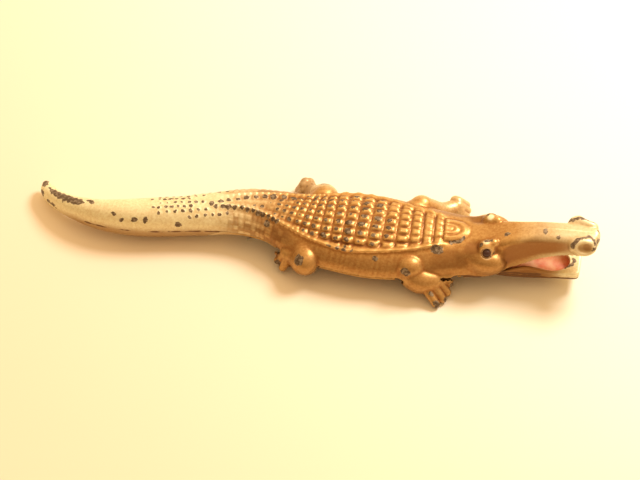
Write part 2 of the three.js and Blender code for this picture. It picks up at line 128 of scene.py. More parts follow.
TOES = {
    "right_front": (
        ((23.8, -10.2, 3.8), (26.8, -12.7, 1.0)), ((25.0, -9.6, 4.4), (28.0, -11.2, 1.1)),
        ((25.9, -8.5, 4.6), (28.7, -9.5, 1.4)), ((26.3, -7.3, 4.5), (28.9, -7.8, 2.4)),
    ),
    "left_front": (
        ((27.6, 12.0, 3.3), (29.8, 12.4, 1.2)), ((27.9, 13.0, 3.8), (29.9, 13.9, 1.4)),
        ((27.8, 13.9, 3.9), (29.5, 15.3, 1.5)), ((27.2, 14.3, 3.6), (28.4, 15.9, 1.6)),
    ),
    "right_hind": (
        ((-6.2, -5.0, 5.0), (-8.1, -5.0, 4.2)), ((-6.4, -5.9, 5.0), (-8.3, -6.0, 3.5)),
        ((-6.4, -6.9, 4.5), (-8.1, -7.5, 2.5)), ((-6.0, -7.8, 3.6), (-6.9, -8.6, 1.7)),
    ),
    "left_hind": (
        ((-5.6, 12.0, 3.4), (-6.9, 11.9, 1.6)), ((-5.9, 13.0, 3.8), (-7.1, 13.5, 1.7)),
        ((-5.7, 13.9, 3.9), (-6.6, 15.0, 1.7)), ((-4.9, 14.3, 3.5), (-5.5, 15.6, 1.5)),
    ),
}
# Where the soles touch the table: x, y and radius.
SOLES = ((25.2, -8.2, 1.5), (27.4, 12.8, 1.3), (-6.0, -5.8, 1.2), (-5.2, 12.8, 1.3))
# Domes over the elbows, and two filling the crooks of the near front leg: centre and radii.
ELBOWS = (
    ((20.4, -8.2, 7.0), (3.0, 2.6, 2.5)), ((20.5, 8.7, 7.0), (2.5, 2.4, 2.5)),
    ((27.8, -7.0, 4.2), (2.8, 1.9, 1.9)), ((19.3, -9.2, 4.3), (2.2, 1.5, 1.4)),
)
# The snout, all as (x, value): its top's height, and its half width along the top and along the lip.
SNOUT_TOP = (
    (30, 10.6), (34, 11.4), (38, 12.5), (42, 13.6), (46, 14.6), (50, 15.2), (54, 15.5), (60, 15.7),
)
SNOUT_FLAT = (
    (30, 3.6), (36, 3.4), (40, 3.2), (44, 2.8), (50, 2.6), (55, 2.7), (57.5, 2.4), (59, 1.8), (60, 1.1),
)
SNOUT_FLARE = (
    (30, 7.0), (36, 6.9), (39.2, 6.2), (41.2, 4.9), (46, 4.35), (52, 3.9), (55.5, 4.1), (57.5, 3.7),
    (59, 2.9), (60, 1.6),
)
SNOUT_X = (30.0, 59.55)
PUPIL = (36.3, 5.1, 10.7)  # the near eye, with its y as a distance from the middle
PUPIL_WAY = np.array([0.05, 0.80, 0.60])  # where it looks
# The ridge over the near nostril, from its rear end round to its front, with y as a distance from the middle.
NOSTRIL_ARCH = ((54.0, 3.6, 13.9), (55.2, 2.9, 15.0), (57.0, 2.4, 15.2), (58.3, 2.3, 14.8))
NOSTRIL_BULGES = {-1: (56.2, -2.8, 13.9), 1: (55.3, 3.2, 13.95)}
# The lower jaw, all as (x, value): half width, underside and rim.
JAW_HALF = ((36, 4.3), (39, 4.9), (43, 4.75), (48, 4.2), (53, 3.65), (56.4, 3.35))
JAW_FOOT = ((36, 2.7), (40, 2.35), (48, 2.3), (54, 2.5), (56.4, 2.8))
JAW_RIM = ((36, 4.6), (39.5, 5.0), (42, 6.0), (44.5, 6.75), (47, 6.2), (49.5, 5.4), (52.5, 5.3), (56.4, 5.4))
JAW_X = (36.4, 56.0)
JAW_SEAM_Z = 3.75  # the dark line along its sides
JAW_STRIPES = (4.2, 4.85)  # heights of the two grooves above it


# ---- small mathematics ----
def catmull(stations, t):
    """The smooth curve through the stations, at parameters t, one row for each."""
    last = len(stations) - 1
    i = np.clip(np.floor(t).astype(int), 0, last - 1)
    f = (t - i)[:, None]
    before, a, b, after = (stations[np.clip(i + k, 0, last)] for k in (-1, 0, 1, 2))
    p, q = (b - before) / 2, (after - a) / 2
    return a + f * (p + f * (3 * (b - a) - 2 * p - q + f * (2 * (a - b) + p + q)))


def ramp(x, a, b):
    """0 before a, 1 after b, and smooth between."""
    t = np.clip((x - a) / (b - a), 0, 1)
    return t * t * (3 - 2 * t)


def soft_min(a, b, k):
    h = np.clip(0.5 + 0.5 * (b - a) / k, 0, 1)
    return b + (a - b) * h - k * h * (1 - h)


def soft_max(a, b, k):
    return -soft_min(-a, -b, k)


def hashed(i, j, seed=0):
    """A number from 0 to 1 for each pair of whole numbers, always the same."""
    v = np.sin(i * 127.1 + j * 311.7 + seed * 74.7) * 43758.5453
    return v - np.floor(v)


# ---- shapes: each is a function of x, y, z giving a distance, with the box it fills ----
MARGIN = 1.5  # round a shape, for blending it with its neighbours


def chain(balls, steps=4):
    """Round cones along a smooth curve through a row of balls."""
    balls = np.array(balls, float)
    if len(balls) > 2:
        balls = catmull(balls, np.linspace(0, len(balls) - 1, (len(balls) - 1) * steps + 1))

    def shape(x, y, z):
        best = None
        for a, b in zip(balls, balls[1:]):
            d = b[:3] - a[:3]
            u, v, w = x - a[0], y - a[1], z - a[2]
            t = np.clip((u * d[0] + v * d[1] + w * d[2]) / (d @ d), 0, 1)
            gap = np.sqrt((u - t * d[0]) ** 2 + (v - t * d[1]) ** 2 + (w - t * d[2]) ** 2)
            gap = gap - (a[3] + t * (b[3] - a[3]))
            best = gap if best is None else soft_min(best, gap, 0.5)
        return best

    reach = balls[:, 3].max() + MARGIN
    return shape, balls[:, :3].min(0) - reach, balls[:, :3].max(0) + reach


def egg(centre, radii):
    """An ellipsoid."""
    centre, radii = np.array(centre, float), np.array(radii, float)

    def shape(x, y, z):
        out = [(p - c) / r for p, c, r in zip((x, y, z), centre, radii)]
        far = np.sqrt(sum(u * u for u in out)) + 1e-6
        slope = np.sqrt(sum((u / r) ** 2 for u, r in zip(out, radii))) + 1e-6
        return far * (far - 1) / slope

    return shape, centre - radii - MARGIN, centre + radii + MARGIN


def brick(lo, hi):
    """A box between two corners."""
    lo, hi = np.array(lo, float), np.array(hi, float)

    def shape(x, y, z):
        u, v, w = (np.maximum(lo[k] - p, p - hi[k]) for k, p in enumerate((x, y, z)))
        return np.maximum(np.maximum(u, v), w)

    return shape, lo - MARGIN, hi + MARGIN


def rod_y(x0, z0, r, y0, y1):
    """A rod along Y."""

    def shape(x, y, z):
        return np.maximum(np.hypot(x - x0, z - z0) - r, np.maximum(y0 - y, y - y1))

    return shape, np.array([x0 - r - 1, y0 - 1, z0 - r - 1]), np.array([x0 + r + 1, y1 + 1, z0 + r + 1])


def rod_z(x0, y0, r, z0, z1):
    """An upright rod."""

    def shape(x, y, z):
        return np.maximum(np.hypot(x - x0, y - y0) - r, np.maximum(z0 - z, z - z1))

    return shape, np.array([x0 - r - 1, y0 - r - 1, z0 - 1]), np.array([x0 + r + 1, y0 + r + 1, z1 + 1])


class Block:
    """A field of distances on a grid, negative inside the metal."""

    def __init__(self, lo=FIGURE_BOX[0], hi=FIGURE_BOX[1], cell=CELL):
        self.cell = cell
        self.axes = [np.arange(a, b, cell, dtype=np.float32) for a, b in zip(lo, hi)]
        self.d = np.full([len(a) for a in self.axes], FAR_IN_AIR, np.float32)

    def window(self, lo, hi):
        """The part of the grid between two corners, and its x, y and z."""
        cut = tuple(slice(*np.searchsorted(a, (p, q))) for a, p, q in zip(self.axes, lo, hi))
        return cut, np.meshgrid(*[a[c] for a, c in zip(self.axes, cut)], indexing="ij", sparse=True)

    def mesh(self):
        """The whole grid's x, y and z."""
        return np.meshgrid(*self.axes, indexing="ij", sparse=True)

    def add(self, made, soft=0.3):
        shape, lo, hi = made
        cut, xyz = self.window(lo, hi)
        self.d[cut] = soft_min(self.d[cut], shape(*xyz), soft)

    def cut(self, made, soft=0.08):
        shape, lo, hi = made
        cut, xyz = self.window(lo, hi)
        self.d[cut] = soft_max(self.d[cut], -shape(*xyz), soft)

    def points(self):
        """The skin as points in millimetres and triangles and quads, wound to face out."""
        grid = openvdb.FloatGrid(FAR_IN_AIR)
        grid.copyFromArray(np.ascontiguousarray(self.d))
        points, triangles, quads = grid.convertToPolygons(isovalue=0.0, adaptivity=0.0)
        points = points * self.cell + np.array([a[0] for a in self.axes])
        return points, triangles[:, ::-1], quads[:, ::-1]


# ---- the trunk and tail ----
LINE_POINTS = 1201
LINE_REACH = 9.0  # how far along X the nearest point of the line is sought


class Plan:
    """The nearest point of the trunk's centre line for every column of the grid."""

    def __init__(self, axes):
        self.xs, self.ys = axes[0], axes[1]
        line = catmull(TRUNK, np.linspace(0, len(TRUNK) - 1, LINE_POINTS))
        heading = np.unwrap(np.arctan2(np.gradient(line[:, 1]), np.gradient(line[:, 0])))
        index, gap = self.nearest(line)
        at = line[index]
        ahead, aside = np.cos(heading[index]), np.sin(heading[index])
        side = ahead * (self.ys[None] - at[..., 1]) - aside * (self.xs[:, None] - at[..., 0])
        self.fields = {
            "station": at[..., 0],
            "across": np.where(side < 0, -gap, gap),
            "mid": at[..., 2],
            "half": at[..., 3],
            "up": at[..., 4],
            "down": at[..., 5],
        }

    def nearest(self, line):
        """Which point of the line is nearest to each column, and how far it is."""
        shape = (len(self.xs), len(self.ys))
        index, gap = np.zeros(shape, int), np.zeros(shape)
        for i, x in enumerate(self.xs):
            near = np.flatnonzero(np.abs(line[:, 0] - np.clip(x, *line[[0, -1], 0])) < LINE_REACH)
            far = np.hypot(line[near, 0][None] - x, line[near, 1][None] - self.ys[:, None])
            index[i], gap[i] = near[far.argmin(1)], far.min(1)
        return index, gap

    def columns(self):
        """The fields, shaped to go with a column of heights."""
        return {k: a[:, :, None] for k, a in self.fields.items()}

    def at(self, x, y):
        """The same, at any points. It is for a plan of cells as large as CELL."""
        u = np.clip((x - self.xs[0]) / CELL, 0, len(self.xs) - 1.001)
        v = np.clip((y - self.ys[0]) / CELL, 0, len(self.ys) - 1.001)
        i, j = u.astype(int), v.astype(int)
        f, g = u - i, v - j

        def between(a):
            low, high = (a[i, k] * (1 - f) + a[i + 1, k] * f for k in (j, j + 1))
            return low * (1 - g) + high * g

        return {k: between(a) for k, a in self.fields.items()}


def section(plan, z, square_top=2.0, square_foot=2.8):
    """The distance from the trunk's skin: an ellipse above the seam, squarer below it at the body."""
    square_foot = square_top + (square_foot - square_top) * ramp(plan["station"], -30, -22)
    q = np.abs(plan["across"]) / plan["half"]
    rise = z - plan["mid"]
    reach = np.where(rise > 0, plan["up"], plan["down"])
    r = np.abs(rise) / reach
    p = np.where(rise > 0, square_top, square_foot)
    total = q**p + r**p + 1e-9
    slope = total ** (1 / p - 1) * np.hypot(q ** (p - 1) / plan["half"], r ** (p - 1) / reach)
    return ((total ** (1 / p) - 1) / np.maximum(slope, 0.05)).astype(np.float32)


def polar(plan, z):
    """How far round from the crown a point of the trunk's skin is, in degrees."""
    return np.degrees(np.arctan2(plan["across"] / plan["half"], (z - plan["mid"]) / plan["up"]))


# ---- relief: scutes, keels, folds and dots. s is the station along the trunk ----
ROW_PITCH = 11.0  # degrees between rows of scutes
# The keel along each flank: station, and angle from the crown.
KEEL = np.array([
    [-26, 9], [-15.3, 19], [-8.4, 31], [-0.9, 40], [4.4, 46], [7, 46.5], [13.4, 41], [20.2, 35], [24.3, 29],
    [28, 25],
])


def keel_angle(s):
    return np.interp(s, KEEL[:, 0], KEEL[:, 1])


def bands(s):
    """The count of scute bands along the back: longest at mid-body, shorter both ways."""
    middle = 8.305 * np.arctanh(np.clip(0.0415 * (np.maximum(s, -2.0) - 13.0), -0.97, 0.97)) - 0.3
    return middle + np.minimum(s + 2.0, 0) / 1.75


def pillow(u, edge):
    """A rounded square wave: 0 at whole u, 1 between, with slopes of the given width."""
    f = np.abs(u - np.round(u))
    return ramp(f, 0.0, edge)


def back_relief(s, angle):
    """Rows and bands of scutes between the keels, flatter towards the tail and neck."""
    keel = keel_angle(s)
    cell, row = bands(s), angle / ROW_PITCH + 0.5
    inside = ramp(keel - np.abs(angle), 2.0, 6.0)
    crown = ramp(s, -17, -5) * (1 - ramp(s, 26.0, 27.5)) * inside
    jitter = 0.12 * (hashed(np.floor(cell), np.floor(row)) - 0.5)
    across_band = pillow(cell, 0.30)
    across_row = 0.12 + 0.88 * pillow(row, 0.34)
    across_row = across_row + (1 - across_row) * 0.6 * ramp(s, 18, 23)
    height = 0.52 * (0.40 + 0.60 * ramp(s, -9, 3)) * (1 - 0.25 * ramp(s, 20, 27)) * (1 + jitter)
    return crown * (height * across_band * across_row - 0.12)


def keel_relief(s, angle, around):
    """A beaded ledge along each flank; around is the skin's radius, to turn degrees into millimetres."""
    off = (np.abs(angle) - keel_angle(s)) * around * math.radians(1)
    there = ramp(s, -25, -17) * (1 - ramp(s, 25, 28))
    bead = 0.78 + 0.22 * np.cos(2 * math.pi * np.where(s > 1, bands(s) - 0.5, s / 1.15))
    ledge = np.exp(-((off / 0.42) ** 2)) * bead
    inner = np.exp(-(((off + 1.0) / 0.5) ** 2))
    step = ramp(off, 1.2, 0.0) * 0.12
    return there * (0.50 * ledge - 0.20 * inner + step)


def flank_relief(s, angle, around):
    """Faint upright wrinkles below the keel, and a few plates at the tail's root."""
    off = (np.abs(angle) - keel_angle(s)) * around * math.radians(1)
    body = ramp(off, 0.8, 1.6) * ramp(s, -2, 1) * (1 - ramp(s, 16, 19))
    uneven = 0.6 + 0.4 * np.sin(s * 1.9 + 1.3)
    folds = body * 0.035 * uneven * np.cos(2 * math.pi * s / 1.3 + 1.1 * np.sin(s * 0.9) + 0.5 * off)
    root = ramp(off, 0.7, 1.2) * ramp(s, -23, -19) * (1 - ramp(s, -8, -6))
    plates = pillow(s / 1.5 + 0.25 * np.sin(s), 0.3) * (0.2 + 0.8 * pillow(off / 1.6 + 0.3, 0.3))
    return folds + root * 0.12 * plates


def shield_relief(s, across):
    """The rounded plate on the neck, with rings inside it."""
    ahead = np.maximum(s - 27.6, 0) / 4.4
    ring = np.hypot(ahead, across / 3.0)
    there = ramp(s, 26.2, 26.9)
    plate = 0.42 * (1 - ramp(ring, 0.86, 1.04))
    ringed = ramp(ring, 0.12, 0.3) * (1 - ramp(ring, 0.84, 0.96))
    grooves = 0.10 * (1 - np.cos(2 * math.pi * (ring * 2.6 + 0.05))) * ringed
    moat = 0.12 * np.exp(-(((ring - 1.12) / 0.10) ** 2))
    return there * (plate - grooves - moat)


# Rows of dots on the tail: station and side offset of the first and last, their pitch and radius.
DOT_ROWS = (
    (-34.4, 0.1, -25.7, 0.0, 1.45, 0.42),
    (-36.1, -1.0, -28.4, -1.0, 1.35, 0.45),
    (-34.8, -2.0, -25.3, -1.9, 1.5, 0.42),
    (-28.8, -3.1, -20.7, -3.0, 1.6, 0.40),
    (-23.8, -0.5, -14.7, 1.1, 1.75, 0.60),
    (-13.0, 1.6, -5.3, 3.3, 2.05, 0.62),
    (-23.3, -1.4, -17.5, -2.0, 1.45, 0.55),
    (-16.0, -2.35, -8.2, -4.2, 1.4, 0.55),
)


def tail_dots():
    """Every dot as station, side offset and radius; the far side mirrors the near side's outer rows."""
    dots = []
    for row, (s0, a0, s1, a1, pitch, r) in enumerate(DOT_ROWS):
        count = max(2, round((s1 - s0) / pitch) + 1)
        for k in range(count):
            f = k / (count - 1)
            wander = 0.35 * (hashed(k, row) - 0.5)
            size = r * (0.8 + 0.4 * hashed(k, row, 3))
            dots.append((s0 + f * (s1 - s0) + wander, a0 + f * (a1 - a0) + 0.5 * wander, size))
            if a0 < -0.9 and s0 < -24:
                dots.append((s0 + f * (s1 - s0) - wander, 0.3 - a0 - f * (a1 - a0), size))
    return dots


DOTS = tail_dots()


def dot_field(s, across):
    """The distance inside the nearest dot, in millimetres, negative outside."""
    best = np.full(np.shape(s), NOWHERE, np.float32)
    for ds, da, r in DOTS:
        near = (s > ds - 2) & (s < ds + 2)
        gap = r - np.hypot(s[near] - ds, (across[near] - da) * 1.15)
        best[near] = np.maximum(best[near], gap)
    return best


def relief(plan, z):
    """How far the cast detail stands out of the trunk's smooth skin."""
    s, across = plan["station"], plan["across"]
    angle = polar(plan, z)
    around = np.hypot(across, z - plan["mid"])
    total = back_relief(s, angle) + keel_relief(s, angle, around)
    total += flank_relief(s, angle, around) + shield_relief(s, across)
    total += 0.10 * ramp(dot_field(s, across), -0.4, 0.25) * ramp(plan["up"], 2, 3)
    return total


def trunk_field(block, plan):
    """The trunk with its relief, on the whole block."""
    z = block.axes[2][None, None, :]
    d = section(plan.columns(), z)
    near = (np.abs(d) < 1.4) & (z > 5.0)
    cells = np.nonzero(near)
    there = {k: a[cells[0], cells[1]] for k, a in plan.fields.items()}
    d[cells] -= relief(there, block.axes[2][cells[2]]).astype(np.float32)
    return d


# ---- the head ----
def profile(x, points):
    """A smooth curve through (x, value) points."""
    points = np.array(points, float)
    t = np.interp(x, points[:, 0], np.arange(len(points)))
    return catmull(points, np.ravel(t))[:, 1].reshape(np.shape(x))


def snout_shape():
    """The snout: a flat top, hollowed flanks and a flared lip."""

    def shape(x, y, z):
        row = np.ravel(x)
        lip = np.interp(row, LIP[:, 0], LIP[:, 1])[:, None, None]
        top, flat, flare = (profile(row, a)[:, None, None] for a in (SNOUT_TOP, SNOUT_FLAT, SNOUT_FLARE))
        rise = np.clip((z - lip) / (top - lip), 0, 1.4)
        half = flare + (flat - flare) * rise**0.5
        sides = (np.abs(y) - half) * 0.92
        crown = z - top + 0.03 * y * y
        ends = np.maximum(np.maximum(x - SNOUT_X[1], SNOUT_X[0] - x), 5.2 - z)
        return soft_max(soft_max(sides, crown, 1.4), ends, 1.2)

    return shape, np.array([28.5, -9.0, 3.0]), np.array([61.0, 9.0, 17.0])


def add_head(block):
    """The snout, then on each side a cheek, a ridge, a hollow behind the eye, the eye and the nostril."""
    block.add(snout_shape(), 1.0)
    for side in (-1, 1):
        block.add(egg((36.2, side * 5.0, 7.6), (4.2, 2.5, 2.8)), 0.6)
        block.add(chain(((31.0, side * 4.6, 8.7, 0.9), (35.0, side * 4.5, 9.8, 0.9))), 1.2)
        block.cut(egg((33.2, side * 3.3, 12.5), (2.2, 1.3, 1.7)), 0.7)
        add_eye(block, side)
        add_nostril(block, side)


def add_eye(block, side):
    """A dome with a brow above it, and a ball set in a socket."""
    block.add(egg((36.1, side * 3.8, 10.6), (1.9, 1.8, 1.9)), 0.45)
    block.add(chain(((36.4, side * 3.5, 11.3, 1.2), (37.6, side * 3.1, 12.0, 0.85))), 0.5)
    eye = np.array([PUPIL[0], side * PUPIL[1], PUPIL[2]])
    way = PUPIL_WAY * (1, side, 1)
    block.cut(egg(eye + way * 0.35, (1.35, 0.9, 1.15)), 0.15)
    block.add(egg(eye - way * 0.25, (1.0, 0.95, 1.0)), 0.03)


def add_nostril(block, side):
    """A bulge with a raised arch round an opening that faces sideways and up."""
    block.add(egg(NOSTRIL_BULGES[side], (2.9, 1.9, 2.05)), 0.6)
    block.add(chain([(x, side * y, z, 0.6) for x, y, z in NOSTRIL_ARCH]), 0.4)
    block.cut(egg((56.9, side * 4.4, 15.0), (1.9, 1.3, 1.5)), 0.4)


def add_legs(block):
    """Legs with their toes, the domes over their joints, and flat soles."""
    for name, balls in LEGS.items():
        block.add(chain(balls), 0.35)
        for root, tip in TOES[name]:
            block.add(chain(((*root, TOE_ROOT_R), (*tip, TOE_TIP_R))), 0.12)
    for centre, radii in ELBOWS:
        block.add(egg(centre, radii), 0.35)
    for x, y, radius in SOLES:
        block.add(rod_z(x, y, radius, -0.5, 3.0), 0.3)


def lip_room():
    """Everything below the upper lip."""

    def shape(x, y, z):
        lip = np.interp(np.ravel(x), LIP[:, 0], LIP[:, 1]).reshape(np.shape(x))
        return soft_max((z - lip) * 0.95, LIP[0, 0] - x, 0.2)

    return shape, np.array([34.0, -9.0, -1.0]), np.array([62.0, 9.0, 14.0])


def cut_jaw_room(block):
    """Room for the lower jaw's root, its knuckle, and the open mouth."""
    x, z = JAW_PIVOT
    half = KNUCKLE_HALF + CLEAR
    block.cut(brick((30.9, -half, -1), (40.5, half, z)))
    block.cut(rod_y(x, z, KNUCKLE_R + CLEAR, -half, half))
    block.cut(lip_room())


# ---- the castings ----
def belly_rear(z):
    """Where the belly casting's rear end is at each height."""
    return BELLY_X[0] + REAR_SLOPE * np.maximum(z - REAR_SLOPE_Z, 0)


def cavity_ends(x):
    """The distance past the ends of the hollow inside the body."""
    return np.maximum(CAVITY[0] - x, x - CAVITY[1])


def hollow_body(block, skin, x, y):
    """The hollow behind the belly, with a boss round each rivet."""
    hollow = np.maximum(skin + WALL, cavity_ends(x))
    for rivet in RIVETS:
        hollow = np.maximum(hollow, rivet.shank + BOSS_WALL - np.hypot(x - rivet.x, y - rivet.y))
    block.d = soft_max(block.d, -hollow, 0.3)


def sculpt_upper(plan):
    """Head with upper jaw, back, legs and tail in one casting, without the lower half of the body."""
    block = Block()
    block.d = trunk_field(block, plan)
    add_head(block)
    add_legs(block)
    x, y, z = block.mesh()
    skin = section(plan.columns(), z)
    hollow_body(block, skin, x, y)
    seam_top = SEAM_Z - 0.2 * (1 - ramp(x, -22.5, -21))
    under = np.maximum(belly_rear(z) - 0.1 - x, x - BELLY_X[1] - CLEAR)
    under = np.maximum(skin - 0.6, np.maximum(z - seam_top, under))
    block.d = np.maximum(block.d, -under)
    for rivet in RIVETS:
        block.cut(rod_z(rivet.x, rivet.y, rivet.shank + CLEAR, 0, rivet.top + CLEAR))
    cut_jaw_room(block)
    block.cut(rod_y(*JAW_PIVOT, JAW_PIN_R + CLEAR, -6.0, 9.0))
    block.d = np.maximum(block.d, -z).astype(np.float32)
    return block


def linked(name, data):
    """A new object in the scene."""
    made = bpy.data.objects.new(name, data)
    bpy.context.scene.collection.objects.link(made)
    return made


def mesh_piece(name, block, body, node, material, paint):
    """The block's skin as a piece in place of a CAD node, with its paint marks as attributes."""
    points, triangles, quads = block.points()
    mesh = bpy.data.meshes.new(name)
    verts = (points + SHIFT) * MM
    faces = [tuple(f) for f in triangles] + [tuple(f) for f in quads]
    mesh.from_pydata([tuple(v) for v in verts], [], faces)
    mesh.validate()
    mesh.shade_smooth()
    for field, values in paint(points).items():
        mesh.attributes.new(field, "FLOAT", "POINT").data.foreach_set("value", values.astype(np.float32))
    mesh.materials.append(material)
    piece = linked(name, mesh)
    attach(piece, body)
    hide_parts(node)


def cut_leg_room(block):
    """Room for the legs where they come down past the belly."""
    for balls in LEGS.values():
        block.cut(chain([(*b[:3], b[3] + LEG_ROOM) for b in balls]))
    for centre, radii in ELBOWS:
        block.cut(egg(centre, np.array(radii) + LEG_ROOM))
    for root, tip in TOES["right_hind"] + TOES["right_front"]:
        block.cut(chain(((*root, TOE_ROOT_R + LEG_ROOM), (*tip, TOE_TIP_R + LEG_ROOM))))


def cut_clip_windows(block):
    """Openings in the belly for the clip's hinge and its finger tab, and holes for the rivets."""
    x0, x1, half = WINDOW
    block.cut(brick((x0, -half, -1), (x1, half, 10)))
    block.cut(brick((TAB_WINDOW[0], TAB_WINDOW[1], -1), (x0 + 1, TAB_WINDOW[2], 10)))
    for rivet in RIVETS:
        block.cut(rod_z(rivet.x, rivet.y, rivet.shank + CLEAR, 0, 10))
        block.cut(rod_z(rivet.x, rivet.y, rivet.head + CLEAR, 0, rivet.under))


def sculpt_belly():
    """The lower half of the casting: a tray with a window for the clip."""
    block = Block(*BELLY_BOX)
    plan = Plan(block.axes).columns()
    x, _, z = block.mesh()
    skin = section(plan, z, square_foot=2.5)
    ends = np.maximum(belly_rear(z) - x, x - BELLY_X[1])
    block.d = soft_max(skin + 0.05, np.maximum(z - SEAM_Z + JOINT_GAP, ends), 0.1)
    cut_leg_room(block)
    room = np.maximum(section(plan, z) + WALL, np.maximum(BELLY_FLOOR - z, cavity_ends(x)))
    block.d = soft_max(block.d, -room, 0.2)
    cut_clip_windows(block)
    cut_jaw_room(block)
    block.d = block.d.astype(np.float32)
    return block


def jaw_profiles(x):
    """The lower jaw's half width, underside, rim and scoop half width along its length."""
    half, foot, rim = (profile(x, points) for points in (JAW_HALF, JAW_FOOT, JAW_RIM))
    end = np.sqrt(np.clip(1 - np.clip((x - 50.2) / 3.5, 0, 1) ** 2, 0, 1))
    scoop = (half - 0.85) * end
    return half, foot, rim, scoop


def jaw_body(x, y, z):
    """A trough with a rounded keel, upright sides with two grooves, and a scoop with a rounded front."""
    half, foot, rim, scoop = (a[:, None, None] for a in jaw_profiles(np.ravel(x)))
    stripes = 0.13 * sum(np.exp(-(((z - height) / 0.22) ** 2)) for height in JAW_STRIPES)
    stripes = stripes * (1 - ramp(x, 48, 52))
    keel = ramp(3.9 - z, 0, 1.6)
    sides = np.abs(y) - half + stripes + keel
    tips = np.maximum(x - JAW_X[1], JAW_X[0] - x)
    body = soft_max(soft_max(sides, foot - z, 0.7), tips, 1.2)
    body = soft_max(body, z - rim, 0.35)
    deep = np.sqrt((y / np.maximum(scoop, 0.05)) ** 2 + ((z - rim - 0.2) / (rim - 3.0)) ** 2)
    return soft_max(body, np.minimum((1 - deep) * 1.6, (scoop - 0.3) * 2), 0.2)


def sculpt_jaw():
    """The lower jaw, with its root and a knuckle round the pin."""
    block = Block(*JAW_BOX, JAW_CELL)
    block.d = jaw_body(*block.mesh())
    x, z = JAW_PIVOT
    block.add(rod_y(x, z, KNUCKLE_R, -KNUCKLE_HALF, KNUCKLE_HALF), 0.2)
    block.add(brick((34.4, -KNUCKLE_HALF, 2.8), (40.5, KNUCKLE_HALF, 4.6)), 0.2)
    block.cut(rod_y(x, z, JAW_PIN_R + 0.1, -9, 9))
    block.d = block.d.astype(np.float32)
    return block


# ---- what the paint does at each point of the skin ----
def box_blur(field, reach):
    """The field's mean over a cube that reaches so many cells each way."""
    for axis in range(3):
        pad = [(0, 0)] * 3
        pad[axis] = (reach + 1, reach)
        total = np.cumsum(np.pad(field, pad, mode="edge"), axis=axis, dtype=np.float64)
        n = field.shape[axis]
        high = np.take(total, np.arange(2 * reach + 1, 2 * reach + 1 + n), axis=axis)
        low = np.take(total, np.arange(0, n), axis=axis)
        field = ((high - low) / (2 * reach + 1)).astype(np.float32)
    return field


def sample(block, field, points):
    """The field at points, between the grid's corners."""
    g = (points - np.array([a[0] for a in block.axes])) / block.cell
    g = np.clip(g, 0, np.array(field.shape) - 1.001)
    i = g.astype(int)
    f = g - i
    total = 0
    for corner in range(8):
        bits = [(corner >> k) & 1 for k in range(3)]
        weight = np.prod([f[:, k] if bits[k] else 1 - f[:, k] for k in range(3)], axis=0)
        total = total + weight * field[i[:, 0] + bits[0], i[:, 1] + bits[1], i[:, 2] + bits[2]]
    return total


def roundness(block, points, reach):
    """How the skin curves: about 1 on a sharp ridge, -1 in a sharp crease."""
    return sample(block, box_blur(block.d, reach) - block.d, points) / (0.1 * reach / 2)


# Bare spots on the upper casting: x, y, z, and three radii.
CHIPS = (
    (39.9, -1.1, 13.2, 0.75, 0.5, 1.0), (48.0, -0.7, 15.0, 0.5, 0.75, 1.0), (51.0, -2.0, 15.2, 0.5, 0.4, 1.0),
    (25.7, -5.2, 9.9, 1.45, 0.95, 1.2), (35.3, 4.2, 12.0, 0.4, 0.5, 0.6), (34.9, -4.1, 12.0, 0.5, 0.5, 1.0),
    (36.3, -3.2, 12.6, 1.0, 0.4, 1.0), (37.9, -4.9, 11.2, 0.4, 0.5, 0.8), (19.8, -10.6, 7.7, 1.15, 0.9, 1.0),
    (-3.0, -10.5, 7.1, 1.1, 1.2, 1.1), (26.9, -13.1, 1.3, 0.8, 0.7, 1.2), (25.6, -11.9, 3.0, 0.6, 0.5, 0.9),
    (28.6, -11.6, 1.4, 0.5, 0.5, 0.9), (29.6, -8.3, 2.5, 0.6, 0.6, 0.7), (-8.0, -8.3, 2.3, 0.9, 0.8, 1.2),
    (-0.9, 10.5, 8.0, 1.2, 0.6, 0.8), (-6.3, 15.0, 4.2, 0.9, 0.7, 0.9), (59.4, 3.3, 13.9, 0.3, 0.6, 0.5),
    (59.7, 1.6, 14.0, 0.25, 0.5, 0.5), (59.5, -0.6, 14.1, 0.3, 0.6, 0.5), (13.1, -8.9, 8.9, 0.65, 0.6, 0.6),
    (45.5, -4.4, 9.4, 0.7, 0.5, 0.35), (52.5, 3.3, 15.0, 1.0, 0.7, 0.7), (36.4, 4.7, 11.7, 0.8, 0.35, 0.6),
)
# Bare scratches: a radius, then the points along each.
SCRATCHES = [
    (0.4, ((28.3, -3.3, 10.5), (30.1, -2.9, 10.65), (31.0, -1.9, 10.9))),
    (0.60, ((54.1, -3.9, 14.9), (54.5, -3.2, 15.6), (55.2, -2.4, 15.9))),
    (0.45, (
        (55.2, -2.4, 15.9), (56.3, -2.0, 15.9), (57.3, -1.3, 15.6), (58.1, -1.8, 15.5), (58.7, -2.7, 15.1),
    )),
    (0.45, ((53.4, 3.0, 15.5), (54.4, 3.2, 15.8), (55.6, 3.3, 15.9), (57.0, 3.1, 15.7), (57.9, 2.8, 15.4))),
    (0.40, ((59.2, -1.2, 14.7), (58.9, -2.8, 14.4), (58.5, -3.6, 14.3))),
    (0.22, ((58.9, 0.9, 15.4), (59.3, 0.4, 15.0))),
]
